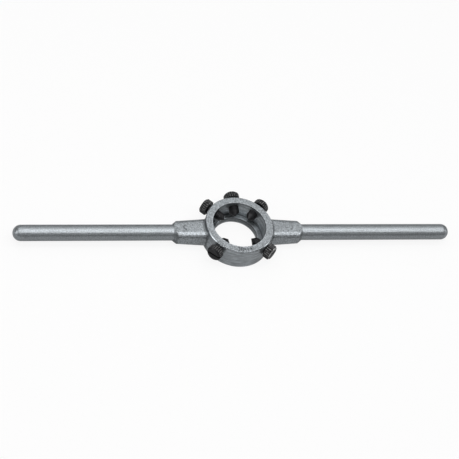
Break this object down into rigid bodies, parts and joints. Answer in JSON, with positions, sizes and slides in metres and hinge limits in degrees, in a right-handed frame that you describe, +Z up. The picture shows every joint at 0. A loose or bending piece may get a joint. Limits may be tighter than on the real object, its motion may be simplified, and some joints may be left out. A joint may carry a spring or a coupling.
{
  "type": "die stock handle",
  "caption": "Hand stock that turns a round threading die: a cast ring with a stepped seat, radial knurled screws with pointed ends, and long round handles on opposite sides.",
  "frame": {"origin": "ring's axis at the ring's underside, the mouth of the guide hole", "axes": "+X along the right handle, +Y towards the middle screw of the three on one side, +Z up the ring's axis, out of the die seat"},
  "size_m": [0.3162, 0.0553, 0.0172],
  "materials": {
    "body_paint": "silver-grey hammered enamel",
    "handle_paint": "silver-grey enamel",
    "screw_steel": "black oxide"
  },
  "bodies": {
    "stock": {"stock_body": "body_paint", "left_handle": "handle_paint", "right_handle": "handle_paint"},
    "right_closing_screw": {"right_closing_screw": "screw_steel"},
    "spreading_screw": {"spreading_screw": "screw_steel"},
    "left_closing_screw": {"left_closing_screw": "screw_steel"},
    "left_holding_screw": {"left_holding_screw": "screw_steel"},
    "right_holding_screw": {"right_holding_screw": "screw_steel"}
  },
  "joints": [
    {"name": "right_closing_travel", "type": "slide", "parent": "stock", "child": "right_closing_screw", "axis": [0.7071, 0.7071, 0], "range_m": [-0.0014, 0.0073]},
    {"name": "spreading_travel", "type": "slide", "parent": "stock", "child": "spreading_screw", "axis": [0, 1, 0], "range_m": [-0.0008, 0.0079]},
    {"name": "left_closing_travel", "type": "slide", "parent": "stock", "child": "left_closing_screw", "axis": [-0.7071, 0.7071, 0], "range_m": [-0.0012, 0.0075]},
    {"name": "left_holding_travel", "type": "slide", "parent": "stock", "child": "left_holding_screw", "axis": [-0.7071, -0.7071, 0], "range_m": [-0.0013, 0.0074]},
    {"name": "right_holding_travel", "type": "slide", "parent": "stock", "child": "right_holding_screw", "axis": [0.7071, -0.7071, 0], "range_m": [-0.0007, 0.008]}
  ]
}
